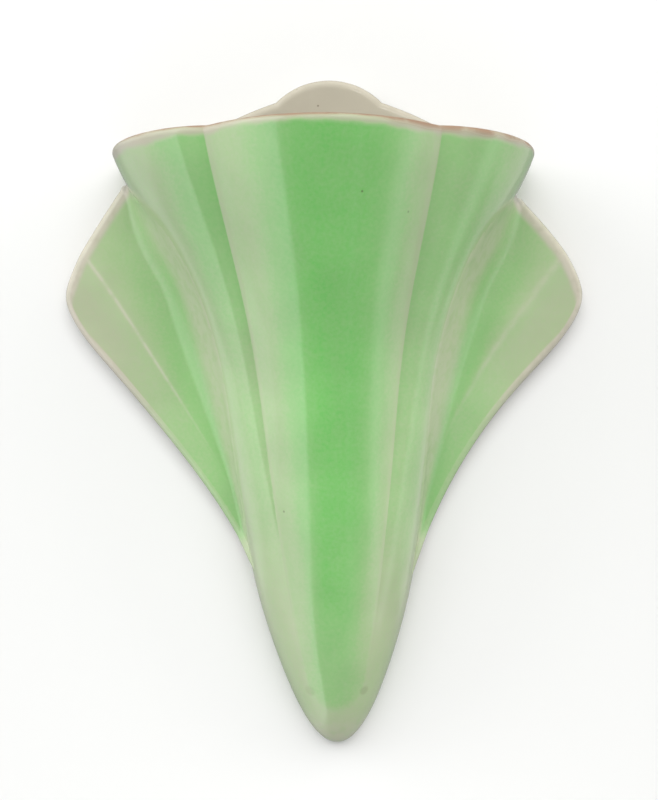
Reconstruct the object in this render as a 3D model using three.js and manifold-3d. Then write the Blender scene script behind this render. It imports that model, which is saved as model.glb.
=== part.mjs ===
// A fluted pottery wall vase: a half-round pocket with three flutes on its front, a flat back plate
// that rises behind the mouth as a scalloped crest, and a pleated fin on each side.
// Millimetres. +Z is up, -Y faces the room, and the wall is the plane y = 0.
// The origin is the centre of the hanging hole, on the wall.

import * as THREE from 'three';
import { mergeVertices } from 'three/addons/utils/BufferGeometryUtils.js';
import Module from 'manifold-3d';

const { smoothstep, lerp } = THREE.MathUtils;

// Pocket, seen from outside
const TOE_DROP = 184; // toe below the hanging hole
const RIM_DROP = 6; // rim below the hanging hole
const TOE_RADIUS_ACROSS = 5.5; // roundness of the toe seen from the front
const TOE_RADIUS_DEEP = 6.3; // roundness of the toe seen from the side
const MOUTH_FLARE_ACROSS = 22.3; // how far the mouth flares out on each side
const MOUTH_FLARE_DEEP = 15; // how far the mouth flares out to the front
const FLARE_START = 100; // height above the toe at which the mouth begins to flare
const FLARE_PAST_RIM = 8; // the flare would end this far above the rim
const FLARE_EASE = 1.25; // above 1 the flare begins more gently than it ends
const FLUTE_DEPTH = 6.6; // depth of the two valleys at the rim
const FLUTE_START = 18; // height above the toe at which the valleys begin
const FLUTE_FULL = 120; // height above the toe at which they are fully cut
const VALLEY_SHARE = 0.58; // where the valleys stand below the flare, as a share of the half width
const VALLEY_FLARE = 8; // how far the flare moves each valley out

// Walls
const WALL = 4.5; // thickness of the pocket's wall at the rim
const FLOOR = 12; // solid clay in the toe, below the hollow
const LIP_ROUND = 2; // rounding of the rim's edges
const PLATE = 5; // thickness of the back plate
const HOLE_DIAMETER = 8; // hanging hole

// Crest of the back plate
const CREST_RISE = 16.6; // top of the crest above the hanging hole
const CREST_RADIUS = 22.4; // radius of its middle scallop
const CREST_HALF_WIDTH = 16; // half width of the middle scallop
const SHOULDER_BULGE = 0.6; // how far each side scallop rises above a straight slope
const EDGE_ROUND = 2; // rounding of the crest's edges

// Fins
const WING_TOP_DROP = 10; // where a fin's top edge leaves the pocket
const WING_REACH = 78.9; // corner of a fin from the middle, before it is rounded
const WING_CORNER_DROP = 52.2; // the same corner below the hanging hole
const WING_CORNER_ROUND = 7; // length of the corner's rounding along each edge
const WING_FOOT_DROP = 136; // where the lower edge runs into the pocket
const EDGE_BOW = 5.4; // how far the lower edge bows in
const WING_EDGE = 6; // thickness of a fin along its outer edge
const RIDGE_DEPTH = 8.8; // distance of the pleat's ridge from the wall
const RIDGE_TOP_REACH = 72.6; // top of the ridge from the middle
const RIDGE_TOP_DROP = 35.6; // top of the ridge below the hanging hole
const RIDGE_BOW = 5.6; // how far the ridge bows in
const SEAT_DEPTH = 13; // how far up the pocket's flank a fin is luted
const INNER_HOLLOW = 3.8; // depth of the hollow between the flank and the ridge
const OUTER_HOLLOW = 1.1; // depth of the hollow between the ridge and the outer edge
const FIT_GAP = 0.3; // left for the slip between a fin and the body
const SHOULDER_OUT = 0.69; // shoulder of a fin's top edge, as a share of the way out to the ridge
const SHOULDER_DOWN = 0.53; // the same shoulder, as a share of the way down to the ridge
const PLEAT_GROWN = 0.55; // share of the fin's height over which the pleat grows out of the foot
const PLEAT_SINKS = 0.9; // share of the fin's height above which it sinks into the top edge

// Numbers of facets
const FACETS_ROUND = 45;
const FACETS_HIGH = 26;
const FACETS_LIP = 3;
const FACETS_WING_HIGH = 18;
const FACETS_FLUTE = 7;

const POCKET_HEIGHT = TOE_DROP - RIM_DROP;
const EDGE_SHARE = 0.45; // most of a thickness that the rounding of one edge may take
const lip = Math.min(LIP_ROUND, EDGE_SHARE * WALL);

const wasm = await Module();
wasm.setup();

// A three.js geometry as a closed solid. Triangles that collapse at a point are dropped.
function solidOf(geometry) {
  const bare = new THREE.BufferGeometry();
  bare.setAttribute('position', geometry.getAttribute('position'));
  bare.setIndex(geometry.index);
  const merged = mergeVertices(bare, 1e-4);
  const corners = merged.index.array;
  const kept = [];
  for (let i = 0; i < corners.length; i += 3) {
    const [a, b, c] = corners.subarray(i, i + 3);
    if (a !== b && b !== c && c !== a) kept.push(a, b, c);
  }
  const vertProperties = merged.getAttribute('position').array;
  const triVerts = new Uint32Array(kept);
  return new wasm.Manifold(new wasm.Mesh({ numProp: 3, vertProperties, triVerts }));
}

// A solid as a three.js geometry.
function geometryOf(solid) {
  const { vertProperties, triVerts } = solid.getMesh();
  const geometry = new THREE.BufferGeometry();
  geometry.setAttribute('position', new THREE.BufferAttribute(vertProperties, 3));
  geometry.setIndex(new THREE.BufferAttribute(triVerts, 1));
  geometry.computeVertexNormals();
  return geometry;
}

// A solid through closed sections that follow each other upwards. Each runs anticlockwise seen from above.
function loft(sections) {
  const count = sections[0].length;
  const triangles = [];
  for (let row = 0; row < sections.length - 1; row++) {
    for (let i = 0; i < count; i++) {
      const a = row * count + i;
      const b = row * count + ((i + 1) % count);
      triangles.push(a, b, b + count, a, b + count, a + count);
    }
  }
  const last = count * (sections.length - 1);
  for (let i = 0, j = count - 1; j - i > 1; i++, j--) {
    triangles.push(i, j, i + 1, last + i, last + i + 1, last + j);
    if (j - i > 2) triangles.push(i + 1, j, j - 1, last + i + 1, last + j - 1, last + j);
  }
  const geometry = new THREE.BufferGeometry();
  geometry.setFromPoints(sections.flat());
  geometry.setIndex(triangles);
  return solidOf(geometry);
}

// The half space in front of a plane that stands at this depth from the wall.
function inFrontOf(depth) {
  const size = 10 * TOE_DROP;
  const box = new THREE.BoxGeometry(size, size, size);
  return solidOf(box.translate(0, -size / 2 - depth, 0));
}

// The pocket's form. It is a rounded toe that opens up as a parabola and then flares at the mouth.
function flareAt(height) {
  const end = POCKET_HEIGHT + FLARE_PAST_RIM;
  const t = Math.max((height - FLARE_START) / (end - FLARE_START), 0);
  return smoothstep(t ** FLARE_EASE, 0, 1);
}

function halfWidthAt(height) {
  return Math.sqrt(2 * TOE_RADIUS_ACROSS * height) + MOUTH_FLARE_ACROSS * flareAt(height);
}

function depthAt(height) {
  return Math.sqrt(2 * TOE_RADIUS_DEEP * height) + MOUTH_FLARE_DEEP * flareAt(height);
}

// How deep the valleys are cut, as a share of the distance from the middle.
function valleyCut(height) {
  return (FLUTE_DEPTH / halfWidthAt(POCKET_HEIGHT)) * smoothstep(height, FLUTE_START, FLUTE_FULL);
}

// The angle of the right valley, seen from above, from the wall round to the front.
function valleyAngleAt(height) {
  const plain = Math.sqrt(2 * TOE_RADIUS_ACROSS * height);
  const x = VALLEY_SHARE * plain + VALLEY_FLARE * flareAt(height);
  const reach = halfWidthAt(height) * (1 - valleyCut(height));
  return height > 0 ? Math.acos(x / reach) : Math.PI / 3;
}

// How far the surface lies inside the half round at an angle: nothing on a flute's crest, most in a valley.
function fluteShare(angle, height) {
  const valley = valleyAngleAt(height);
  const fromWall = Math.min(angle, Math.PI - angle);
  const onCentre = fromWall > valley;
  const along = onCentre
    ? (fromWall - valley) / (Math.PI - 2 * valley)
    : fromWall / valley;
  return valleyCut(height) * (1 - Math.sin(Math.PI * along));
}

// The angles of a section's points. A point stands in each valley.
function sectionAngles(height) {
  const valley = valleyAngleAt(height);
  const corners = [0, valley, Math.PI - valley, Math.PI];
  const perFlute = FACETS_ROUND / 3;
  const angles = [];
  for (let flute = 0; flute < 3; flute++) {
    for (let i = 0; i < perFlute; i++) {
      angles.push(lerp(corners[flute], corners[flute + 1], i / perFlute));
    }
  }
  angles.push(Math.PI);
  return angles.reverse();
}

// A section of the pocket's form at a height above the toe, drawn in by an inset, at its own level.
function pocketSection(height, inset, level) {
  const across = Math.max(halfWidthAt(height) - inset, 0);
  const deep = Math.max(depthAt(height) - inset, 0);
  return sectionAngles(height).map((angle) => {
    const share = 1 - fluteShare(angle, height);
    const x = across * share * Math.cos(angle);
    const y = -deep * share * Math.sin(angle);
    return new THREE.Vector3(x, y, level - TOE_DROP);
  });
}

// Heights from the toe to the start of the lip, closer together at the toe.
function heightsUpTo(top) {
  const rows = Array.from({ length: FACETS_HIGH + 1 }, (_, i) => i / FACETS_HIGH);
  return rows.map((t) => top * t ** 1.5);
}

// The quarter round of the lip, as pairs of distance below the rim and of drawing in.
const lipRound = Array.from({ length: FACETS_LIP }, (_, i) => {
  const turn = (Math.PI / 2) * ((i + 1) / FACETS_LIP);
  return [lip * (1 - Math.sin(turn)), lip * (1 - Math.cos(turn))];
});

// The outside of the pocket right back to the wall, as one full body, grown by a margin all round.
function pocketBody(margin) {
  const sections = heightsUpTo(POCKET_HEIGHT - lip).map((h) => pocketSection(h, -margin, h));
  for (const [below, drawnIn] of lipRound) {
    const height = POCKET_HEIGHT - below;
    sections.push(pocketSection(height, drawnIn - margin, height));
  }
  return loft(sections);
}

// The hollow of the pocket. It is the same form squeezed up to leave the floor, and inset by the wall.
function pocketHollow() {
  const tall = POCKET_HEIGHT - FLOOR;
  const levelOf = (height) => FLOOR + (height * tall) / POCKET_HEIGHT;
  const sections = heightsUpTo(POCKET_HEIGHT - lip)
    .filter((h) => halfWidthAt(h) > 1.3 * WALL)
    .map((h) => pocketSection(h, WALL, levelOf(h)));
  for (const [below, drawnIn] of lipRound) {
    const height = POCKET_HEIGHT - below;
    sections.push(pocketSection(height, WALL - drawnIn, height));
  }
  const past = POCKET_HEIGHT + 2 * WALL;
  sections.push(pocketSection(POCKET_HEIGHT, WALL - lip, past));
  return loft(sections);
}

const body = pocketBody(0);
const pocketFront = body.intersect(inFrontOf(PLATE)).subtract(pocketHollow());

// Back plate: the slice of the body that lies against the wall, with the crest standing up behind the mouth.
function crestShape() {
  const rimZ = -RIM_DROP;
  const cornerX = halfWidthAt(POCKET_HEIGHT) - FLUTE_DEPTH - lip;
  const centreZ = CREST_RISE - CREST_RADIUS;
  const scallopTurn = Math.asin(CREST_HALF_WIDTH / CREST_RADIUS);
  const scallopZ = centreZ + CREST_RADIUS * Math.cos(scallopTurn);
  const middleX = (cornerX + CREST_HALF_WIDTH) / 2;
  const middleZ = (rimZ + scallopZ) / 2 + 2 * SHOULDER_BULGE;
  const shape = new THREE.Shape();
  const foot = rimZ - 3 * EDGE_ROUND;
  shape.moveTo(-cornerX + 2 * EDGE_ROUND, foot);
  shape.lineTo(cornerX - 2 * EDGE_ROUND, foot);
  shape.lineTo(cornerX, rimZ);
  shape.quadraticCurveTo(middleX, middleZ, CREST_HALF_WIDTH, scallopZ);
  shape.absarc(0, centreZ, CREST_RADIUS, Math.PI / 2 - scallopTurn, Math.PI / 2 + scallopTurn);
  shape.quadraticCurveTo(-middleX, middleZ, -cornerX, rimZ);
  return shape;
}

function crest() {
  const round = Math.min(EDGE_ROUND, EDGE_SHARE * PLATE);
  const geometry = new THREE.ExtrudeGeometry(crestShape(), {
    depth: PLATE - 2 * round,
    bevelThickness: round,
    bevelSize: round,
    bevelOffset: -round,
    bevelSegments: 3,
    curveSegments: 10,
  });
  return solidOf(geometry.translate(0, 0, round).rotateX(Math.PI / 2));
}

const hole = new THREE.CylinderGeometry(HOLE_DIAMETER / 2, HOLE_DIAMETER / 2, 4 * PLATE, 32);
const backPlate = body.subtract(inFrontOf(PLATE)).add(crest()).subtract(solidOf(hole));

// Right fin: a slab with rounded edges that lies on the wall beside the pocket.
const flankX = halfWidthAt(TOE_DROP - WING_TOP_DROP) - FLUTE_DEPTH;
const flankTop = new THREE.Vector2(flankX - WING_EDGE / 2, -WING_TOP_DROP);
const ridgeTop = new THREE.Vector2(RIDGE_TOP_REACH, -RIDGE_TOP_DROP);
const corner = new THREE.Vector2(WING_REACH, -WING_CORNER_DROP);
const footX = halfWidthAt(TOE_DROP - WING_FOOT_DROP) - WING_EDGE / 4;
const foot = new THREE.Vector2(footX, -WING_FOOT_DROP);
const ridgeFoot = new THREE.Vector2(footX - WING_EDGE, -WING_FOOT_DROP);

// A curve from a lower to an upper point that bows in towards the pocket.
function bowedCurve(from, to, bow) {
  const control = from.clone().lerp(to, 0.5);
  control.x -= 2 * bow;
  return new THREE.QuadraticBezierCurve(from, control, to);
}

const lowerEdge = bowedCurve(foot, corner, EDGE_BOW);
const ridge = bowedCurve(ridgeFoot, ridgeTop, RIDGE_BOW);

// The fin's outline, down the top edge, round the corner, down the lower edge and back inside the pocket.
function finOutline() {
  const aboveCorner = ridgeTop.clone().sub(corner).setLength(WING_CORNER_ROUND).add(corner);
  const shoulderX = lerp(flankTop.x, ridgeTop.x, SHOULDER_OUT);
  const shoulderZ = lerp(flankTop.y, ridgeTop.y, SHOULDER_DOWN);
  const kept = 1 - WING_CORNER_ROUND / lowerEdge.getLength();
  const belowCorner = lowerEdge.getPoint(kept);
  const keptControl = foot.clone().lerp(lowerEdge.v1, kept);
  const outline = new THREE.Shape();
  outline.moveTo(flankTop.x, flankTop.y);
  outline.bezierCurveTo(shoulderX, shoulderZ, ridgeTop.x, ridgeTop.y, aboveCorner.x, aboveCorner.y);
  outline.quadraticCurveTo(corner.x, corner.y, belowCorner.x, belowCorner.y);
  outline.quadraticCurveTo(keptControl.x, keptControl.y, foot.x, foot.y);
  outline.lineTo(foot.x - 2 * WING_EDGE, foot.y);
  outline.lineTo(flankTop.x - 2 * WING_EDGE, flankTop.y);
  return outline;
}

function finSlab() {
  const round = EDGE_SHARE * WING_EDGE;
  const geometry = new THREE.ExtrudeGeometry(finOutline(), {
    depth: WING_EDGE - 2 * round,
    bevelThickness: round,
    bevelSize: round,
    bevelOffset: -round,
    bevelSegments: 3,
    curveSegments: 12,
  });
  return solidOf(geometry.translate(0, 0, round).rotateX(Math.PI / 2));
}

// The pleat on the slab. Rungs fan out from the foot to the top edge. Each starts inside the pocket's
// flank, sinks into a hollow, climbs to the ridge and falls away to the outer edge.
function flankPoint(v) {
  const z = lerp(-WING_FOOT_DROP, -WING_TOP_DROP - WING_EDGE, v);
  const inside = lerp(2 * WING_EDGE, WING_EDGE / 2, smoothstep(v, 0, 0.35));
  return new THREE.Vector2(halfWidthAt(z + TOE_DROP) - FLUTE_DEPTH - inside, z);
}

// The distance of the pleat's front from the wall. The pleat sinks into the slab at the foot and at the top.
const sunkDepth = 0.8 * WING_EDGE;

function pleatDepth(u, v) {
  const onInner = u < 0.5;
  const s = onInner ? 2 * u : 2 * u - 1;
  const start = onInner ? SEAT_DEPTH : RIDGE_DEPTH;
  const end = onInner ? RIDGE_DEPTH : sunkDepth;
  const hollow = onInner ? INNER_HOLLOW : OUTER_HOLLOW;
  const full = lerp(start, end, s) - hollow * 4 * s * (1 - s);
  const grown = smoothstep(v, 0, PLEAT_GROWN) * (1 - smoothstep(v, PLEAT_SINKS, 1));
  return lerp(sunkDepth, full, grown);
}

function pleatSection(v) {
  const flank = flankPoint(v);
  const peak = ridge.getPoint(v);
  const edge = lowerEdge.getPoint(0.96 * v);
  const backDepth = WING_EDGE / 3;
  const steps = 2 * FACETS_FLUTE;
  const front = [];
  const back = [];
  for (let i = 0; i <= steps; i++) {
    const u = i / steps;
    const at = flank.clone().multiplyScalar((1 - u) * (1 - 2 * u));
    at.addScaledVector(peak, 4 * u * (1 - u)).addScaledVector(edge, u * (2 * u - 1));
    at.x -= (WING_EDGE / 2) * u;
    front.push(new THREE.Vector3(at.x, -pleatDepth(u, v), at.y));
    back.unshift(new THREE.Vector3(at.x, -backDepth, at.y));
  }
  return [...front, ...back];
}

function finPleat() {
  const sections = [];
  for (let row = 0; row <= FACETS_WING_HIGH; row++) {
    sections.push(pleatSection((0.97 * row) / FACETS_WING_HIGH));
  }
  return loft(sections);
}

const grownBody = pocketBody(FIT_GAP);
const bodyPastWall = grownBody.add(grownBody.translate(0, FIT_GAP, 0));
const rightWing = finSlab().add(finPleat()).subtract(bodyPastWall);

// The pieces with their glazes
const creamGlaze = new THREE.MeshStandardMaterial({ color: 0xcdc4b2, roughness: 0.15, metalness: 0 });
const sprayedGlaze = new THREE.MeshStandardMaterial({ color: 0x8fc07f, roughness: 0.15, metalness: 0 });
const wingGlaze = new THREE.MeshStandardMaterial({ color: 0xb4c79a, roughness: 0.15, metalness: 0 });

const vase = new THREE.Group();
vase.name = 'wall_vase';

function addPiece(name, geometry, material) {
  const piece = new THREE.Mesh(geometry, material);
  piece.name = name;
  vase.add(piece);
  return piece;
}

addPiece('back_plate', geometryOf(backPlate), creamGlaze);
addPiece('pocket_front', geometryOf(pocketFront), sprayedGlaze);
addPiece('right_wing', geometryOf(rightWing), wingGlaze);
const leftWing = addPiece('left_wing', geometryOf(rightWing), wingGlaze);
leftWing.scale.x = -1;

export default vase;
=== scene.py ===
import math

import bmesh
import bpy
import numpy as np
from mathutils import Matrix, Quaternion, Vector


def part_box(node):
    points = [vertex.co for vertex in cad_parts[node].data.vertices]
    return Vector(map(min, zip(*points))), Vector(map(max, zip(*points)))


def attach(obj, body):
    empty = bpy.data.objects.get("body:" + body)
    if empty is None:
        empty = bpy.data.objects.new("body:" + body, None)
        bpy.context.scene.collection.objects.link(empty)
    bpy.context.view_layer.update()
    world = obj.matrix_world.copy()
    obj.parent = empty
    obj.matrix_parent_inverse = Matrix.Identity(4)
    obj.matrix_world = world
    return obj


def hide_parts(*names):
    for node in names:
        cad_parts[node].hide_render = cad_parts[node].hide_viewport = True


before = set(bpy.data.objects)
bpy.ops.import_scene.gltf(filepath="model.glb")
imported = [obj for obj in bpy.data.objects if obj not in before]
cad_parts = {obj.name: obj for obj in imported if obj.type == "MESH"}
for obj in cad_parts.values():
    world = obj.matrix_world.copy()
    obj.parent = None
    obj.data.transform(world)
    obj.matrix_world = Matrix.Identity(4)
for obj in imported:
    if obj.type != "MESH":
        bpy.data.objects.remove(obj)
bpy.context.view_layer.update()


# Pocket
# The front of the vase: a half-round shell of slip-cast earthenware with three flutes, about 4.5 mm thick,
# open at the top and solid at the toe. It is luted to the back plate, airbrushed green and gloss glazed.

MM = 0.001  # the sizes below are in millimetres, and the meshes in metres

TOE_DROP = -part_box("back_plate")[0].z / MM  # toe below the hanging hole
RIM_DROP = -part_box("pocket_front")[1].z / MM  # rim below the hanging hole
POCKET_HEIGHT = TOE_DROP - RIM_DROP
TOE_RADIUS_ACROSS = 5.5
TOE_RADIUS_DEEP = 6.3
MOUTH_FLARE_ACROSS = 22.9
MOUTH_FLARE_DEEP = 15
FLARE_START = 100
FLARE_PAST_RIM = 8
FLARE_EASE = 1.25
FLUTE_DEPTH = 6.6
FLUTE_START = 18
FLUTE_FULL = 120
VALLEY_SHARE = 0.568
VALLEY_FLARE = 6.9
FLUTE_SWELL = 1.4  # the flutes stand proud of the plain half-round by this much at the rim
FLUTE_SKEW = 0.7  # the side flutes are fullest close to the valleys
FLUTE_POWER = 0.9
CREASE = 0.13  # softness of the valleys, as a share of a flute's height
WALL = 4.5
FLOOR = 12
LIP_ROUND = 2
BACK_ROUND = 1.2  # rounding of the edge that lies on the wall
FOOT_SWELL = 0.9  # the pocket is a little wider where the fins run out
FOOT_SWELL_AT, FOOT_SWELL_REACH = 48, 22
FLANK_WAIST = 3.2  # the flanks are drawn in below the flare, where the fins stand
FLANK_WAIST_AT, FLANK_WAIST_REACH = 141, 18
LEAN_AT_RIM = -1.7  # the casting leans a little: its rim sits to the left and its toe to the right
LEAN_PER_MM = -0.0235
RIM_RISE = 1.2  # the rim stands higher in the middle than at its ends
RIM_DROOP = 2.4


def smoothstep(x, low, high):
    t = np.clip((x - low) / (high - low), 0, 1)
    return t * t * (3 - 2 * t)


def flare_at(height):
    end = POCKET_HEIGHT + FLARE_PAST_RIM
    t = np.maximum((height - FLARE_START) / (end - FLARE_START), 0)
    return smoothstep(t ** FLARE_EASE, 0, 1)


def half_width_at(height):
    swell = FOOT_SWELL * np.exp(-((height - FOOT_SWELL_AT) / FOOT_SWELL_REACH) ** 2)
    return np.sqrt(2 * TOE_RADIUS_ACROSS * height) + MOUTH_FLARE_ACROSS * flare_at(height) + swell


def waist_at(height):
    return FLANK_WAIST * np.exp(-((height - FLANK_WAIST_AT) / FLANK_WAIST_REACH) ** 2)


def depth_at(height):
    return np.sqrt(2 * TOE_RADIUS_DEEP * height) + MOUTH_FLARE_DEEP * flare_at(height)


def valley_cut(height):
    full = FLUTE_DEPTH / half_width_at(POCKET_HEIGHT)
    return full * smoothstep(height, FLUTE_START, FLUTE_FULL)


def valley_angle_at(height):
    plain = np.sqrt(2 * TOE_RADIUS_ACROSS * height)
    across = VALLEY_SHARE * plain + VALLEY_FLARE * flare_at(height)
    return np.arccos(across / (half_width_at(height) * (1 - valley_cut(height))))


def lean_at(z):
    return LEAN_AT_RIM + LEAN_PER_MM * (z + RIM_DROP)


def pocket_points(flute, height, inset=0.0, level=None):
    """Points on the pocket. The flute runs from 0 at the right wall to 3 at the left wall."""
    flute, height = np.broadcast_arrays(np.asarray(flute, float), np.asarray(height, float))
    level = height if level is None else level
    valley = valley_angle_at(height)
    centre = math.pi - 2 * valley
    angle = np.where(flute < 1, flute * valley, valley + (flute - 1) * centre)
    angle = np.where(flute > 2, math.pi - valley + (flute - 2) * valley, angle)
    gap = np.clip(np.where(flute < 1, 1 - flute, np.where(flute < 2, flute - 1, flute - 2)), 0, 1)
    gap = np.where((flute < 1) | (flute > 2), gap ** FLUTE_SKEW, gap)
    arch = (np.sin(math.pi * gap) ** 2 + CREASE ** 2) ** (FLUTE_POWER / 2)
    cut = valley_cut(height)
    share = 1 - cut + cut * (1 + FLUTE_SWELL / FLUTE_DEPTH) * arch
    off_wall = np.where(flute < 1, flute, np.where(flute > 2, 3 - flute, 1))
    half_width = half_width_at(height) - waist_at(height) * (1 - smoothstep(off_wall, 0.25, 0.8))
    x = np.maximum(half_width - inset, 0) * share * np.cos(angle)
    deep = np.maximum(depth_at(height) - inset, 0) * share * np.sin(angle)
    past_edge = np.clip(BACK_ROUND - deep, 0, BACK_ROUND)
    drawn_in = BACK_ROUND - np.sqrt(BACK_ROUND ** 2 - past_edge ** 2)
    x = x - np.sign(x) * np.minimum(drawn_in, 0.5 * np.abs(x))
    z = level - TOE_DROP
    rise = RIM_RISE - RIM_DROOP * (x / half_width_at(POCKET_HEIGHT)) ** 2
    z = z + rise * smoothstep(level, 0.8 * POCKET_HEIGHT, POCKET_HEIGHT)
    return np.stack([x + lean_at(z), -deep, z], axis=-1)


def crowded_ends(count, crowding):
    """Steps from 0 to 1 that lie closer together at both ends."""
    t = np.linspace(0, 1, count)
    return t - crowding * np.sin(2 * math.pi * t) / (2 * math.pi)


def grid_faces(rows, columns, first=0):
    at = first + np.arange(rows * columns).reshape(rows, columns)
    corners = [at[:-1, :-1], at[:-1, 1:], at[1:, 1:], at[1:, :-1]]
    return np.stack(corners, axis=-1).reshape(-1, 4).tolist()


SHARP_EDGE = math.radians(40)


def make_piece(name, points, faces, paint):
    """A closed mesh with soft shading. The paint holds one number per point under each name."""
    mesh = bpy.data.meshes.new(name)
    mesh.from_pydata((np.asarray(points) * MM).tolist(), [], faces)
    for layer, values in paint.items():
        attribute = mesh.attributes.new(layer, "FLOAT", "POINT")
        attribute.data.foreach_set("value", np.asarray(values, np.float32))
    shape = bmesh.new()
    shape.from_mesh(mesh)
    bmesh.ops.recalc_face_normals(shape, faces=shape.faces)
    for face in shape.faces:
        face.smooth = True
    for edge in shape.edges:
        edge.smooth = edge.calc_face_angle(0) < SHARP_EDGE
    shape.to_mesh(mesh)
    shape.free()
    piece = bpy.data.objects.new(name, mesh)
    bpy.context.collection.objects.link(piece)
    return piece


# The fins rise to the flanks over a ramp. The pocket's paint follows it, so its sizes stand here.
FIN_FOOT_DROP = 140
FIN_TOP_DROP = {-1: 14.8, 1: 18.5}  # the right fin starts lower on the flank
FIN_EDGE = 5.0  # depth of the fin's front along the outer edge
RIDGE_RISE = 2.4  # the fin's ridge above the outer edge
RIDGE_STEP = 0.3  # the ridge above the outer edge at the foot, where there is no pleat yet
HOLLOW = 1.3
HOLLOW_STEP, HOLLOW_SHARE = 0.4, 0.85  # the hollow's level beside the ramp, from the ridge's
PLEAT_START, PLEAT_FULL = 0.1, 0.85  # the pleat grows between these shares of the fin's height
RAMP = {-1: 4.4, 1: 4.9}  # width of the ramp at its widest
RAMP_LEAST = 0.3
RAMP_START_DROP, RAMP_FULL_DROP = 118, 50
RAMP_FADE_DROP, RAMP_END_DROP, RAMP_FADE = 40, 14, 0.75
RAMP_STEEP = 1.5  # the ramp touches the flank at least this far above the hollow


def fin_levels(up):
    """Depth of the ridge, and of the hollow beside the ramp, up the fin."""
    pleat = smoothstep(up, PLEAT_START, PLEAT_FULL)
    ridge = FIN_EDGE + RIDGE_STEP + RIDGE_RISE * pleat
    return ridge, ridge + HOLLOW_STEP - HOLLOW_SHARE * HOLLOW * pleat


def flank_ramps(side):
    """Per level: the ramp's crease on the fin, its depth and slope there, and the flute that it touches."""
    z = np.linspace(-FIN_FOOT_DROP - 2, -8, 180)
    foot = fin_levels((z + FIN_FOOT_DROP) / (FIN_FOOT_DROP - FIN_TOP_DROP[side]))[1]
    flutes = np.linspace(0.01, 0.9, 500)
    points = pocket_points(flutes if side > 0 else 3 - flutes, (z + TOE_DROP)[:, None])
    out, deep = side * points[..., 0], -points[..., 1]
    above = deep > foot[:, None]
    wall = np.take_along_axis(out, above.argmax(axis=1)[:, None], axis=1)[:, 0]
    width = RAMP_LEAST + RAMP[side] * smoothstep(z, -RAMP_START_DROP, -RAMP_FULL_DROP) * (
        1 - RAMP_FADE * smoothstep(z, -RAMP_FADE_DROP, -RAMP_END_DROP))
    crease = wall + width
    slope = (deep - foot[:, None]) / np.maximum(crease[:, None] - out, 0.05)
    slope = np.where(deep > foot[:, None] + RAMP_STEEP, slope, 0)
    touch = slope.argmax(axis=1)
    return {"z": z, "crease": crease, "foot": foot, "slope": slope.max(axis=1), "touch": flutes[touch]}


RAMP_SPRAY, RAMP_PAINTED_LIGHT = 0.30, 0.42  # spray on the ramp, and how strongly painted light lightens it there
PALE_START, PALE_FULL = 22, 50  # heights between which the pale ramp begins, and between which it ends
PALE_FADE, PALE_END = 150, 165


def ramp_reach(height):
    return smoothstep(height, PALE_START, PALE_FULL) * (1 - smoothstep(height, PALE_FADE, PALE_END))


ramps_of = {side: flank_ramps(side) for side in (-1, 1)}


MIDDLE_SPRAY, VALLEY_SPRAY, RIGHT_SPRAY, LEFT_SPRAY = 0.88, 0.26, 0.37, 0.33
LOW_SIDE_SPRAY, TOE_SPRAY = 0.24, 0.27
TOE_EDGE, TOE_EDGE_CURVE = 12.5, 0.09  # the toe is pale up to this height, and higher at its sides
BARE_RIM = 2.3  # the spray stops about this far below the rim


# Spray over the flutes: strongest down the middle of the front and beside each valley on the side flutes,
# and thin on the valley's other side. It thins out at the toe, stops short of the rim, and leaves the steep
# ramp along each fin pale.
def past_ramp(flute, height):
    """1 on the flank below the ramp's top edge, fading to 0 a little above it."""
    near = np.zeros(np.broadcast_shapes(np.shape(flute), np.shape(height)))
    for side, off_wall in ((1, flute), (-1, 3 - flute)):
        touch = np.interp(height - TOE_DROP, ramps_of[side]["z"], ramps_of[side]["touch"])
        fade = 0.12 + 0.19 * (1 - smoothstep(height, 65, 115))
        near = np.maximum(near, 1 - smoothstep((off_wall - touch) / fade, -0.2, 1))
    return near * ramp_reach(height)


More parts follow.
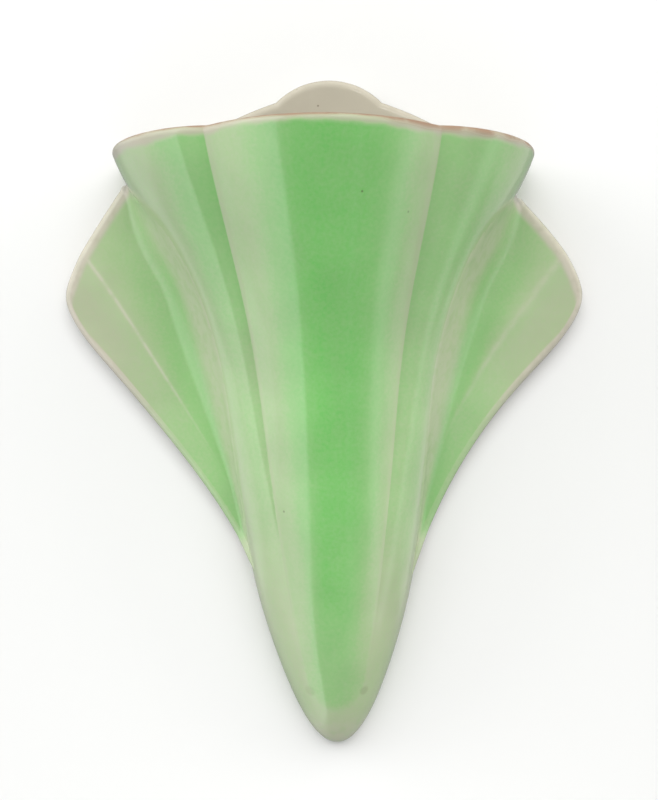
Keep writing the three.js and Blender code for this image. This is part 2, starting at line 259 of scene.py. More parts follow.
def pocket_spray(flute, height, below_rim, across):
    along = np.mod(flute, 1)
    middle = smoothstep(along, 0.02, 0.40) * (1 - smoothstep(along, 0.53, 0.88))
    low_middle = smoothstep(across, -10, -2) * (1 - smoothstep(across, 1, 10))
    middle = low_middle + (middle - low_middle) * smoothstep(height, 30, 75)
    fade = 0.22 + 0.78 * smoothstep(height, 10, 60)
    valley_side = VALLEY_SPRAY + 0.07 * smoothstep(np.minimum(along, 1 - along), 0.01, 0.05)
    centre = valley_side + (MIDDLE_SPRAY - valley_side) * middle * fade
    sides = smoothstep(height, 35, 95)
    right_gap = np.clip(1 - flute, 0, 1)
    upper = smoothstep(height, 112, 150)
    right = RIGHT_SPRAY + 0.09 * upper + 0.07 * np.exp(-right_gap / 0.35)
    right = right - 0.13 * upper * smoothstep(right_gap, 0.2, 0.5)
    left_gap = np.clip(flute - 2, 0, 1)
    left = LEFT_SPRAY + 0.02 * upper + (0.07 + 0.13 * upper) * (1 - smoothstep(left_gap, 0.12, 0.32))
    left = left + upper * (0.12 * np.exp(-left_gap / 0.05) - 0.05 * smoothstep(left_gap, 0.1, 0.3))
    side = np.where(flute < 1.5, right, left)
    low_side = LOW_SIDE_SPRAY + 0.09 * smoothstep(height, 45, 80)
    side = low_side + (side - low_side) * sides
    side = side + (RAMP_SPRAY - side) * past_ramp(flute, height)
    spray = np.where((flute < 1) | (flute > 2), side, centre)
    toe_edge = TOE_EDGE + TOE_EDGE_CURVE * across ** 2
    toe = (1 - smoothstep(height, toe_edge - 2, toe_edge + 2.5)) * (1 - smoothstep(height, 25, 45))
    spray = spray + (TOE_SPRAY - spray) * toe
    over_toe = np.exp(-((height - toe_edge - 4) / 3) ** 2) * (1 - smoothstep(np.abs(across), 12, 25))
    spray = spray + 0.02 * over_toe
    ragged = 0.35 * np.sin(9.3 * flute + 1) + 0.25 * np.sin(23 * flute) + 0.15 * np.sin(61 * flute + 2)
    bare_band = ragged + BARE_RIM + 0.8 * np.exp(-((flute - 1.1) / 0.25) ** 2)
    bare_band = bare_band - 0.6 * np.exp(-((flute - 1.44) / 0.07) ** 2)
    bare_band = bare_band + 1.5 * smoothstep(flute, 2.05, 2.35)
    return spray * (0.15 + 0.85 * smoothstep(below_rim, bare_band - 0.9, bare_band + 0.9))


def rim_wear(flute, below_rim):
    reach = 1.1 + 1.7 * np.exp(-((flute - 0.70) / 0.28) ** 2) + 1.3 * np.exp(-((flute - 1.08) / 0.17) ** 2)
    reach = reach + 0.25 * np.sin(17 * flute) + 0.15 * np.sin(47 * flute + 1)
    return 1 - smoothstep(below_rim, 0.25 * reach, reach)


LIP_STEPS = 7
flute_steps = [crowded_ends(count, 0.8) + start for start, count in ((0, 42), (1, 64), (2, 42))]
flutes = np.concatenate([flute_steps[0], flute_steps[1][1:], flute_steps[2][1:]])
lower_rows = 0.4 + (POCKET_HEIGHT - 10.4) * np.linspace(0, 1, 170) ** 1.5
upper_rows = np.linspace(POCKET_HEIGHT - 10, POCKET_HEIGHT - LIP_ROUND, 18)[1:]
outer_heights = np.concatenate([lower_rows, upper_rows])
turn = np.linspace(0, math.pi / 2, LIP_STEPS)[1:]
lip_drop = LIP_ROUND * (1 - np.sin(turn))
lip_inset = LIP_ROUND * (1 - np.cos(turn))
slimmest = (WALL + 0.6) ** 2 / (2 * TOE_RADIUS_ACROSS)
inner_heights = slimmest + (POCKET_HEIGHT - LIP_ROUND - slimmest) * outer_heights / outer_heights[-1]
inner_levels = FLOOR + inner_heights * (POCKET_HEIGHT - FLOOR) / POCKET_HEIGHT
lip_levels = POCKET_HEIGHT - lip_drop

row_heights = np.concatenate([outer_heights, lip_levels])
row_insets = np.concatenate([np.zeros_like(outer_heights), lip_inset])
outer = pocket_points(flutes, row_heights[:, None], row_insets[:, None])
inner_rows = np.concatenate([inner_heights, lip_levels])
inner_insets = np.concatenate([np.full_like(inner_heights, WALL), WALL - lip_inset])
inner_row_levels = np.concatenate([inner_levels, lip_levels])
inner = pocket_points(flutes, inner_rows[:, None], inner_insets[:, None], inner_row_levels[:, None])

rows, columns = outer.shape[:2]
inner_first = rows * columns
toe_point = 2 * rows * columns
floor_point = toe_point + 1
outer_at = np.arange(rows * columns).reshape(rows, columns)
inner_at = outer_at + inner_first
pocket_faces = grid_faces(rows, columns) + grid_faces(rows, columns, inner_first)
for column in range(columns - 1):
    pocket_faces.append([outer_at[-1, column], outer_at[-1, column + 1],
                         inner_at[-1, column + 1], inner_at[-1, column]])
    pocket_faces.append([toe_point, outer_at[0, column], outer_at[0, column + 1]])
    pocket_faces.append([floor_point, inner_at[0, column], inner_at[0, column + 1]])
for column in (0, columns - 1):
    pocket_faces.append([toe_point, outer_at[0, column], inner_at[0, column], floor_point])
    for row in range(rows - 1):
        pocket_faces.append([outer_at[row, column], outer_at[row + 1, column],
                             inner_at[row + 1, column], inner_at[row, column]])
toe_tip = [lean_at(-TOE_DROP), 0, -TOE_DROP]
floor_middle = [lean_at(-TOE_DROP), 0, inner_levels[0] - 1.5 - TOE_DROP]
pocket_points_all = np.concatenate([outer.reshape(-1, 3), inner.reshape(-1, 3), [toe_tip, floor_middle]])

below_rim = POCKET_HEIGHT - row_heights
across = outer[..., 0] - lean_at(outer[..., 2])
outer_spray = pocket_spray(flutes[None, :], row_heights[:, None], below_rim[:, None], across)
inside_drop = (POCKET_HEIGHT - inner_row_levels)[:, None]
inner_spray = np.broadcast_to(0.06 * (1 - smoothstep(inside_drop, 0, 15)), outer_spray.shape)
outer_wear = rim_wear(flutes[None, :], below_rim[:, None])
inner_wear = np.broadcast_to(1 - smoothstep(inside_drop, 0.1, 0.6), outer_wear.shape)
# Painted light: pale cream lightens the toe, which faces down, and the ramp beside each fin.
toe_painted_light = 0.55 * (1 - smoothstep(row_heights, 2, 14))[:, None]
outer_painted_light = toe_painted_light + RAMP_PAINTED_LIGHT * past_ramp(flutes[None, :], row_heights[:, None])
pocket_paint = {
    "spray": np.concatenate([outer_spray.ravel(), inner_spray.ravel(), [0.3, 0]]),
    "wear": np.concatenate([outer_wear.ravel(), inner_wear.ravel(), [0, 0]]),
    "thin_gloss_and_painted_light": np.concatenate([outer_painted_light.ravel(), np.zeros(outer_spray.size), [0.6, 0]]),
}
pocket = make_piece("fluted_pocket", pocket_points_all, pocket_faces, pocket_paint)


# The glaze: cream earthenware under airbrushed green, covered with a clear gloss. The paint on the mesh
# says where the spray lies, where the gloss has run thin over an edge and where the rim is worn. The same
# pale cream is also painted light: it lightens the side-facing fin edges, the toe and the ramps.
CREAM = (0.482, 0.432, 0.350, 1)
LIGHT_GREEN = (0.39, 0.515, 0.28, 1)
HALF_GREEN = (0.295, 0.52, 0.213, 1)
FULL_GREEN = (0.165, 0.51, 0.12, 1)
THIN_GLOSS_AND_PAINTED_LIGHT_CREAM = (0.60, 0.56, 0.47, 1)
WORN_CLAY = (0.30, 0.195, 0.125, 1)
PIT_BROWN = (0.10, 0.085, 0.05, 1)


def glaze(name, pits=(), tone=1.0):
    material = bpy.data.materials.new(name)
    material.use_nodes = True
    nodes, links = material.node_tree.nodes, material.node_tree.links
    shader = nodes["Principled BSDF"]
    place = nodes.new("ShaderNodeTexCoord").outputs["Object"]

    def noise(scale, detail, stretch=(1, 1, 1)):
        stretched = nodes.new("ShaderNodeMapping")
        stretched.inputs["Scale"].default_value = stretch
        texture = nodes.new("ShaderNodeTexNoise")
        texture.inputs["Scale"].default_value = scale
        texture.inputs["Detail"].default_value = detail
        links.new(place, stretched.inputs["Vector"])
        links.new(stretched.outputs["Vector"], texture.inputs["Vector"])
        return texture.outputs["Fac"]

    def math_node(kind, first, second, third=None):
        node = nodes.new("ShaderNodeMath")
        node.operation = kind
        for socket, value in zip(node.inputs, (first, second, third)):
            if isinstance(value, (int, float)):
                socket.default_value = value
            elif value is not None:
                links.new(value, socket)
        return node.outputs[0]

    def layer(attribute):
        node = nodes.new("ShaderNodeAttribute")
        node.attribute_name = attribute
        return node.outputs["Fac"]

    def spread(value, low, high, to_low, to_high):
        node = nodes.new("ShaderNodeMapRange")
        node.interpolation_type = "SMOOTHSTEP"
        node.inputs["From Min"].default_value = low
        node.inputs["From Max"].default_value = high
        node.inputs["To Min"].default_value = to_low
        node.inputs["To Max"].default_value = to_high
        links.new(value, node.inputs["Value"])
        return node.outputs["Result"]

    def mix(factor, first, second):
        node = nodes.new("ShaderNodeMix")
        node.data_type = "RGBA"
        links.new(factor, node.inputs["Factor"])
        for socket, value in ((node.inputs["A"], first), (node.inputs["B"], second)):
            if isinstance(value, tuple):
                socket.default_value = value
            else:
                links.new(value, socket)
        return node.outputs["Result"]

    # The spray is uneven: fine droplets, soft clouds, and faint streaks where the glaze ran down.
    droplets = math_node("MULTIPLY_ADD", noise(900, 4), 0.5, -0.25)
    clouds = math_node("MULTIPLY_ADD", noise(75, 3), 0.22, -0.11)
    runs = math_node("MULTIPLY_ADD", noise(150, 2, (1, 1, 0.06)), 0.24, -0.12)
    uneven = math_node("ADD", math_node("ADD", droplets, clouds), math_node("ADD", runs, 1))
    density = math_node("MULTIPLY", layer("spray"), uneven)
    ramp = nodes.new("ShaderNodeValToRGB")
    ramp.color_ramp.elements[0].color = CREAM
    ramp.color_ramp.elements[1].color = FULL_GREEN
    ramp.color_ramp.elements.new(0.3).color = LIGHT_GREEN
    ramp.color_ramp.elements.new(0.5).color = HALF_GREEN
    links.new(density, ramp.inputs["Fac"])
    colour = ramp.outputs["Color"]

    # The clay below shows small differences in warmth.
    warmth = nodes.new("ShaderNodeHueSaturation")
    links.new(spread(noise(40, 3), 0.3, 0.7, 0.94 * tone, 1.05 * tone), warmth.inputs["Value"])
    links.new(colour, warmth.inputs["Color"])
    colour = warmth.outputs["Color"]

    # Pale cream for thin gloss, which is also painted light that lightens the side-facing edges, the toe
    # and the ramps.
    thin_gloss_and_painted_light = math_node("MULTIPLY", layer("thin_gloss_and_painted_light"), spread(noise(300, 2), 0.3, 0.6, 0.45, 0.95))
    colour = mix(thin_gloss_and_painted_light, colour, THIN_GLOSS_AND_PAINTED_LIGHT_CREAM)
    worn = math_node("MULTIPLY", layer("wear"), spread(noise(130, 4), 0.34, 0.6, 0.4, 1.0))
    colour = mix(worn, colour, WORN_CLAY)

    # Pinholes and specks of iron that burned through the glaze.
    for centre, radius, strength in pits:
        away = nodes.new("ShaderNodeVectorMath")
        away.operation = "DISTANCE"
        away.inputs[1].default_value = [value * MM for value in centre]
        links.new(place, away.inputs[0])
        speck = spread(away.outputs["Value"], 0.4 * radius * MM, radius * MM, strength, 0)
        colour = mix(speck, colour, PIT_BROWN)
    links.new(colour, shader.inputs["Base Color"])

    # The gloss is smooth, with a faint orange peel and slow waves, and dull where the rim is worn.
    shine = spread(noise(120, 3), 0.3, 0.7, 0.12, 0.17)
    links.new(math_node("MULTIPLY_ADD", worn, 0.4, shine), shader.inputs["Roughness"])
    waves = math_node("MULTIPLY", noise(55, 2), 2.0)
    peel = math_node("MULTIPLY_ADD", noise(420, 2), 0.35, waves)
    bump = nodes.new("ShaderNodeBump")
    bump.inputs["Strength"].default_value = 1
    bump.inputs["Distance"].default_value = 0.00003
    links.new(peel, bump.inputs["Height"])
    links.new(bump.outputs["Normal"], shader.inputs["Normal"])
    shader.inputs["IOR"].default_value = 1.52
    return material


pocket_pits = [(pocket_points(1.91, 72), 0.5, 0.45), (pocket_points(1.35, 159), 0.45, 0.6),
               (pocket_points(1.12, 155), 0.45, 0.4), (pocket_points(1.98, 18), 2.2, 0.12),
               (pocket_points(0.97, 18), 2.0, 0.2)]
pocket.data.materials.append(glaze("green_airbrushed_glaze", pocket_pits))
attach(pocket, "root")
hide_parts("pocket_front")


# Back plate
# The flat back of the vase, 5 mm of cream glazed clay that lies on the wall. It closes the pocket and
# stands up behind the mouth as a scalloped crest, with a hole through it for the nail.

PLATE = 5
PLATE_INSET = 0.9  # the plate ends inside the pocket's wall
BACK_RECESS = 0.08  # its back lies this far inside the pocket's edge
CREST_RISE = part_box("back_plate")[1].z / MM
CREST_RADIUS = 22.4
CREST_HALF_WIDTH = 16
SHOULDER_BULGE = 1.4
SHOULDER_FOOT = 47  # half width of the crest level with the rim
EDGE_ROUND, EDGE_SPREAD = 2.0, 2.6  # the crest's front edge is rounded over 2.6 mm
CORNER_ROUND = 4  # the corners level with the rim
HOLE_RADIUS = 4
HOLE_ROUND = 0.9
FACE_BORDER = 0.5  # a flat border inside each rounded edge keeps the faces even


def crest_curve():
    """The right half of the plate's outline, from the toe up the side, over the shoulder to the top."""
    heights = np.linspace(2.5, POCKET_HEIGHT - 1.42 * CORNER_ROUND, 60)
    side_x = (half_width_at(heights) - waist_at(heights)) * (1 - valley_cut(heights)) - PLATE_INSET
    side = np.stack([np.maximum(side_x, 0.6), heights - TOE_DROP], axis=-1)
    slope = math.atan2(*(side[-1] - side[-2]))
    turns = np.linspace(-slope, math.pi / 2, 12)[:, None]
    corner = np.concatenate([np.cos(turns), np.sin(turns)], axis=1) * CORNER_ROUND
    corner = (corner - corner[0] + side[-1])[1:]
    foot = np.array([SHOULDER_FOOT, -RIM_DROP])
    centre_z = CREST_RISE - CREST_RADIUS
    scallop_turn = math.asin(CREST_HALF_WIDTH / CREST_RADIUS)
    scallop = np.array([CREST_HALF_WIDTH, centre_z + CREST_RADIUS * math.cos(scallop_turn)])
    middle = (foot + scallop) / 2 + np.array([0, 2 * SHOULDER_BULGE])
    t = np.linspace(0, 1, 40)[:, None]
    shoulder = (1 - t) ** 2 * foot + 2 * t * (1 - t) * middle + t ** 2 * scallop
    turns = np.linspace(scallop_turn, 0, 30)[1:]
    top = np.stack([CREST_RADIUS * np.sin(turns), centre_z + CREST_RADIUS * np.cos(turns)], axis=-1)
    return np.concatenate([side, corner, shoulder, top])


def loop_normals(loop):
    """Outward normals of a closed loop that runs anticlockwise."""
    along = np.roll(loop, -1, axis=0) - np.roll(loop, 1, axis=0)
    normal = np.stack([along[:, 1], -along[:, 0]], axis=-1)
    return normal / np.linalg.norm(normal, axis=1)[:, None]


def rounded_rings(thickness, front_round, front_spread, back_round, border):
    """Pairs of inset and depth that go round an edge, from the front face to the back face."""
    turns = np.linspace(0, math.pi / 2, 10)
    rings = [(front_spread + border, thickness)]
    rings += [(front_spread * (1 - math.sin(a)), thickness - front_round * (1 - math.cos(a)))
              for a in turns]
    rings += [(back_round * (1 - math.cos(a)), back_round * (1 - math.sin(a))) for a in turns]
    rings.append((back_round + border, 0))
    return rings


right_half = crest_curve()
left_half = right_half[-2::-1] * np.array([-1, 1])
crest_loop = np.concatenate([right_half, left_half])
crest_normal = loop_normals(crest_loop)
hole_turns = np.linspace(0, 2 * math.pi, 64, endpoint=False) - math.pi / 2
hole_loop = np.stack([np.cos(hole_turns), np.sin(hole_turns)], axis=-1)


def on_plate(plan, depth):
    """The plate leans with the casting. Only its crest stands upright."""
    z = plan[:, 1]
    crest = smoothstep(z, -14, -2) * (1 - smoothstep(np.abs(plan[:, 0]), 38, 50))
    lean = lean_at(z) * (1 - crest)
    depth = max(depth, BACK_RECESS)
    return np.stack([plan[:, 0] + lean, np.full(len(plan), -depth), z], axis=-1)


plate_points, plate_faces = [], []
crest_rings = rounded_rings(PLATE, EDGE_ROUND, EDGE_SPREAD, BACK_ROUND, FACE_BORDER)
hole_rings = rounded_rings(PLATE, HOLE_ROUND, HOLE_ROUND, HOLE_ROUND, FACE_BORDER)
for inset, depth in crest_rings:
    plate_points.append(on_plate(crest_loop - inset * crest_normal, depth))
for inset, depth in hole_rings:
    plate_points.append(on_plate(hole_loop * (HOLE_RADIUS + inset), depth))
edge_count, hole_count = len(crest_loop), len(hole_loop)
ring_count = len(crest_rings)
crest_at = np.arange(ring_count * edge_count).reshape(ring_count, edge_count)
hole_at = ring_count * edge_count + np.arange(ring_count * hole_count).reshape(ring_count, hole_count)
for at in (crest_at, hole_at):
    wrapped = np.concatenate([at, at[:, :1]], axis=1)
    for ring in range(ring_count - 1):
        for step in range(at.shape[1]):
            plate_faces.append([wrapped[ring, step], wrapped[ring, step + 1],
                                wrapped[ring + 1, step + 1], wrapped[ring + 1, step]])
top_step = len(right_half) - 1
half_turn = hole_count // 2
for ring in (0, ring_count - 1):
    right_edge = crest_at[ring, :top_step + 1].tolist()
    left_edge = crest_at[ring, top_step:].tolist() + [crest_at[ring, 0]]
    hole_right = hole_at[ring, :half_turn + 1].tolist()
    hole_left = hole_at[ring, half_turn:].tolist() + [hole_at[ring, 0]]
    plate_faces.append(right_edge + hole_right[::-1])
    plate_faces.append(left_edge + hole_left[::-1])
plate_points = np.concatenate(plate_points)
edge_thin = [math.exp(-((inset - 0.9) / 0.7) ** 2) if depth > PLATE / 2 else 0
             for inset, depth in crest_rings]
plate_paint = {
    "spray": np.full(len(plate_points), 0.02),
    "wear": np.zeros(len(plate_points)),
    "thin_gloss_and_painted_light": np.concatenate([np.repeat(edge_thin, edge_count), np.zeros(ring_count * hole_count)]) * 0.35,
}
plate = make_piece("crested_back", plate_points, plate_faces, plate_paint)
plate_pits = [((-3.3, -PLATE, 8.6), 0.4, 0.6), ((-9.6, -PLATE + 1, 13.4), 0.6, 0.5)]
plate.data.materials.append(glaze("cream_glaze", plate_pits, tone=0.93))
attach(plate, "root")
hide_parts("back_plate")


# Fins
# A pleated fin on each side, about 6 mm thick, luted along the pocket's flank and flat on the wall. A
# hollow runs down beside the pocket, then a ridge, then a flatter outer field that ends in a rounded edge.

CORNER = np.array([77.8, -54.2])
FOOT = np.array([18.8, -140.0])
EDGE_BOW = {-1: 8.5, 1: 7.6}
RIDGE_FOOT = np.array([14.8, -140.0])
RIDGE_TOP = np.array([72.6, -35.6])
RIDGE_BOW = 5.6
RIDGE_TRIM = 0.985  # the ridge stops short of the top edge's rounding
OUTER_HOLLOW = 0.5
RAMP_LAP = 0.10  # the fin laps over the flank by this share of a flute
SKIN, SKIN_DIP = 0.05, 0.13  # its skin lies just outside the pocket, and dips into it at the end of the lap
SINK, SINK_REACH = 2.0, 0.26  # at its foot the fin runs out inside the pocket's wall
RAMP_SOFT, RAMP_SOFT_LEAST = 0.95, 2  # rounding between ramp and fin, as a share of the ramp's depth
FOOT_SOFT, FOOT_SOFT_START, FOOT_SOFT_END = 0.4, 0.02, 0.22  # it is slighter at the foot
HOLLOW_START = 0.6  # the hollow's level beside the ramp, above the ridge's
RIDGE_SOFT = 0.16
FIN_ROUND = 2.0
HIDDEN_SEAT = 1.0  # how far the fin runs into the pocket's wall
HIDDEN_DEPTH, HIDDEN_REACH = 0.3, 0.1  # there its back is raised by this much, and at the foot too
CORNER_OUT, CORNER_DOWN, CORNER_POWER = 0.095, 0.035, 18
FIN_LEAN_FOOT, FIN_LEAN, FIN_LEAN_TOP = 1.5, -2.4, -1.6
EDGE_SCALE, TOP_SCALE = 34, 90  # millimetres across and up a fin, for the paint along its edge
FIELD_SPRAY = {-1: 0.26, 1: 0.30}
BACK_SPRAY = 0.03
RIDGE_LINE, RIDGE_THIN = {-1: 0.55, 1: 1.0}, {-1: 0.6, 1: 0.35}  # width and strength of the pale ridge line


def bowed(low, high, bow, t):
    bend = (low + high) / 2 - np.array([2 * bow, 0])
    t = np.asarray(t)[..., None]
    return (1 - t) ** 2 * low + 2 * t * (1 - t) * bend + t ** 2 * high


def flank_depth(out, z, side, ramps):
    """Depth of the pocket's flank over points of the fin, and of the ramp that runs down from it."""
    height = z + TOE_DROP

    def on_flank(flute):
        point = pocket_points(flute if side > 0 else 3 - flute, height)
        return side * point[..., 0], -point[..., 1]

    keys = ("crease", "foot", "slope", "touch")
    crease, foot, slope, touch = (np.interp(z, ramps["z"], ramps[key]) for key in keys)
    low, high = touch, np.full_like(height, 0.95)
    for _ in range(40):
        middle = (low + high) / 2
        beyond = on_flank(middle)[0] > out
        low, high = np.where(beyond, middle, low), np.where(beyond, high, middle)
    return np.where(out < on_flank(touch)[0], on_flank(low)[1], foot + slope * (crease - out))


def fin(name, side):
    rows, inner_count, outer_count = 150, 60, 26
    v = 1 - (1 - np.linspace(0, 1, rows)) ** 1.4
    u = np.concatenate([crowded_ends(inner_count, 0.6) / 2, 0.5 + crowded_ends(outer_count, 0.75)[1:] / 2])
    u, v = np.meshgrid(u, v)
    outer_share = smoothstep(u, 0.5, 1)
    fan = u - CORNER_OUT * outer_share * v ** CORNER_POWER
    up = v * (1 - CORNER_DOWN * u ** CORNER_POWER)

    seat_z = -FIN_FOOT_DROP + (FIN_FOOT_DROP - FIN_TOP_DROP[side]) * up
    pleat = smoothstep(up, PLEAT_START, PLEAT_FULL)
    ramps = ramps_of[side]
    flute = np.interp(seat_z, ramps["z"], ramps["touch"]) + RAMP_LAP
    on_flank = pocket_points(flute if side > 0 else 3 - flute, seat_z + TOE_DROP)
    lean = FIN_LEAN_FOOT + (FIN_LEAN - FIN_LEAN_FOOT) * smoothstep(up, 0, 0.7)
    lean = lean + (FIN_LEAN_TOP - FIN_LEAN) * smoothstep(up, 0.7, 1)
    ridge = bowed(RIDGE_FOOT, RIDGE_TOP, RIDGE_BOW, RIDGE_TRIM * up)
    edge = bowed(FOOT, CORNER, EDGE_BOW[side], up)
    rails = [(side * on_flank[..., 0], on_flank[..., 2]),
             (ridge[..., 0] + side * lean, ridge[..., 1]), (edge[..., 0] + side * lean, edge[..., 1])]
    weights = [(1 - fan) * (1 - 2 * fan), 4 * fan * (1 - fan), fan * (2 * fan - 1)]
    out = sum(weight * rail[0] for weight, rail in zip(weights, rails))
    z = sum(weight * rail[1] for weight, rail in zip(weights, rails))

    ridge_depth = fin_levels(up)[0]
    t, s = 2 * fan, 2 * fan - 1
    start = ridge_depth + HOLLOW_START
    hollow = start + (ridge_depth - start) * t - HOLLOW * pleat * 4 * t * (1 - t)
    field = ridge_depth + (FIN_EDGE - ridge_depth) * s - OUTER_HOLLOW * pleat * 4 * s * (1 - s)
    field = np.where(s < -0.3, 1e3, field)
    depth = -RIDGE_SOFT * np.logaddexp(-hollow / RIDGE_SOFT, -np.minimum(field, 60) / RIDGE_SOFT)
    depth = np.where(t < 0.6, hollow, depth)
    touch = np.interp(z, ramps["z"], ramps["touch"])
    touch_point = pocket_points(touch if side > 0 else 3 - touch, z + TOE_DROP)
    touch_out = side * touch_point[..., 0]
    lapped = np.clip((touch_out - out) / np.maximum(touch_out[:, :1] - out[:, :1], 0.05), 0, 1)
    skin = SKIN - SKIN_DIP * lapped - SINK * (1 - smoothstep(up, 0, SINK_REACH))
    rise = flank_depth(out - skin, z, side, ramps)
    ramp_deep = -touch_point[..., 1] - np.interp(z, ramps["z"], ramps["foot"])
    soft = np.maximum(RAMP_SOFT * ramp_deep, RAMP_SOFT_LEAST)
    soft = soft * (FOOT_SOFT + (1 - FOOT_SOFT) * smoothstep(up, FOOT_SOFT_START, FOOT_SOFT_END))
    blend = np.maximum(soft - np.abs(rise - depth), 0) / soft
    depth = np.maximum(rise, depth) + soft / 4 * blend ** 2

    # Spray: green over the hollow, thin on the outer field and on the ramp. The ramp is also lightened with
    # painted light.
    low_down = 1 - smoothstep(up, 0.35, 0.75)
    crease = np.interp(z, ramps["z"], ramps["crease"])
    up_ramp = (crease - out) / np.maximum(crease - touch_out, 0.5)
    on_ramp = smoothstep(up_ramp, -0.25 - 0.6 * low_down, 0.55) * ramp_reach(z + TOE_DROP)
    ridge_gap = np.interp(z, rails[1][1][:, 0], rails[1][0][:, 0]) - out
    share = (out - crease) / np.maximum(out - crease + ridge_gap, 4)
    green = 1 - smoothstep(share, 0.40 + 0.15 * low_down, 1.0 + 0.5 * low_down)
    green = green * (1 - 0.4 * smoothstep(up, 0.8, 1))
    field = FIELD_SPRAY[side] + 0.22 * (1 - smoothstep(up, 0.35, 0.9))
    field = field - 0.07 * smoothstep(share, 1.1, 1.5) * smoothstep(up, 0.55, 0.85)
    spray = field + (0.19 - 0.11 * low_down) * green
    spray = RAMP_SPRAY + (spray - RAMP_SPRAY) * (1 - on_ramp) * smoothstep(up, 0.05, 0.2)

    # A hidden column carries the fin into the pocket's wall.
    grids = (out, z, depth, fan, up, spray, on_ramp)
    out, z, depth, fan, up, spray, on_ramp = (np.concatenate([grid[:, :1], grid], axis=1) for grid in grids)
    out[:, 0] -= HIDDEN_SEAT
    columns = out.shape[1]

    # The rounded edge follows the top, the corner and the lower edge round to the back.
    at = np.arange(rows * columns).reshape(rows, columns)
    border = np.concatenate([at[-1, :], at[-2::-1, -1]])
    plan = np.stack([out.ravel()[border], z.ravel()[border]], axis=-1)
    along = np.gradient(plan, axis=0)
    normal = np.stack([-along[:, 1], along[:, 0]], axis=-1)
    normal /= np.linalg.norm(normal, axis=1)[:, None]
    front = depth.ravel()[border]
    # The edge is flat where it meets the flank, and at the foot its back lies inside the pocket's wall.
    flush = 1 - 0.9 * smoothstep(front - FIN_EDGE - RIDGE_RISE, 1, 7)[:, None]
    at_foot = 1 - smoothstep(up.ravel()[border], 0, HIDDEN_REACH)
    points = [np.stack([out.ravel(), depth.ravel(), z.ravel()], axis=-1)]
    turns = np.linspace(0, math.pi / 2, 8)[1:]
    reaches = [(FIN_ROUND * math.sin(a), FIN_ROUND * (1 - math.cos(a))) for a in turns]
    back_turns = np.linspace(0, math.pi / 2, 6)
    backs = [(FIN_ROUND - BACK_ROUND * (1 - math.cos(a)), BACK_ROUND * (1 - math.sin(a)))
             for a in back_turns]
    backs.append((FIN_ROUND - BACK_ROUND - FACE_BORDER, 0.0))
    for reach, sunk in reaches:
        ring = plan + reach * flush * normal
        points.append(np.stack([ring[:, 0], front - sunk, ring[:, 1]], axis=-1))
    for reach, depth_left in backs:
        ring = plan + reach * flush * normal
        points.append(np.stack([ring[:, 0], depth_left + HIDDEN_DEPTH * at_foot, ring[:, 1]], axis=-1))
    at_wall = pocket_points(0.05 if side > 0 else 2.95, z[:, 0] + TOE_DROP)
    hidden_depth = np.full(rows, HIDDEN_DEPTH)
    points.append(np.stack([side * at_wall[:, 0] - HIDDEN_SEAT, hidden_depth, z[:, 0]], axis=-1))
    points = np.concatenate(points)

    count = len(border)
    ring_total = len(reaches) + len(backs)
    rings = rows * columns + np.arange(ring_total * count).reshape(ring_total, count)
    rings = np.concatenate([border[None, :], rings])
    hidden_at = rows * columns + ring_total * count + np.arange(rows)
    faces = grid_faces(rows, columns)
    for ring in range(ring_total):
        for step in range(count - 1):
            faces.append([rings[ring, step], rings[ring, step + 1],
                          rings[ring + 1, step + 1], rings[ring + 1, step]])
    for row in range(rows - 1):
        faces.append([at[row, 0], at[row + 1, 0], hidden_at[row + 1], hidden_at[row]])
    faces.append(rings[-1].tolist() + hidden_at.tolist())
    faces.append(rings[:, 0].tolist() + [hidden_at[-1]])
    faces.append(at[0, :].tolist() + rings[1:, -1].tolist() + [hidden_at[0]])

    points = points * np.array([side, -1, 1])

    # Paint along the edge: a pale line, widest at the corner, that fades where the fin runs out. The pale
    # cream on and beside the rounded edge is partly thin gloss and partly painted light, which brightens
    # the edge where it faces sideways or down.
    fan_all, up_all, spray = (
        np.concatenate([grid.ravel(), np.tile(grid.ravel()[border], ring_total), np.zeros(rows)])
        for grid in (fan, up, spray))
    off_edge = np.concatenate([np.zeros(rows * columns), np.ones(ring_total * count + rows)])
    edge_gap = np.minimum((1 - fan_all) * EDGE_SCALE, (1 - up_all) * TOP_SCALE)
    high_up = smoothstep(up_all, 0.55, 0.9)
    bare_edge = (1 - smoothstep(edge_gap, 0.2, 0.8 + 1.0 * high_up)) * (0.1 + 0.7 * high_up)
    spray = spray * (1 - np.maximum(bare_edge, (0.15 + 0.65 * high_up) * off_edge))
    at_back = len(points) - len(backs) * count - rows
    spray[at_back:] = BACK_SPRAY
    ridge_line = np.exp(-((fan_all - 0.5) * EDGE_SCALE / RIDGE_LINE[side]) ** 2)
    ridge_line = ridge_line * smoothstep(up_all, 0.35, 0.75)
    edge_line = (1 - smoothstep(edge_gap, 0, 0.5 + 1.1 * high_up)) * (1 - off_edge)
    # Painted light: pale cream lightens the ramp in the corner beside the pocket.
    fin_ramp_painted_light = RAMP_PAINTED_LIGHT * np.concatenate([on_ramp.ravel(), np.zeros(ring_total * count + rows)])
    run_out = 0.2 + 0.8 * smoothstep(up_all, 0.5, 0.9)
    paint = {
        "spray": spray,
        "wear": np.zeros(len(points)),
        "thin_gloss_and_painted_light": np.maximum.reduce([RIDGE_THIN[side] * ridge_line, fin_ramp_painted_light,
                                   np.maximum(0.7 * edge_line, 0.6 * off_edge) * run_out]),
    }
    return make_piece(name, points, faces, paint)


fin_glaze = glaze("light_green_airbrushed_glaze", [((-39.0, -7.5, -92.0), 0.5, 0.7)])
for name, node, side in (("left_fin", "left_wing", -1), ("right_fin", "right_wing", 1)):
    piece = fin(name, side)
    piece.data.materials.append(fin_glaze)
    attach(piece, "root")
    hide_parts(node)


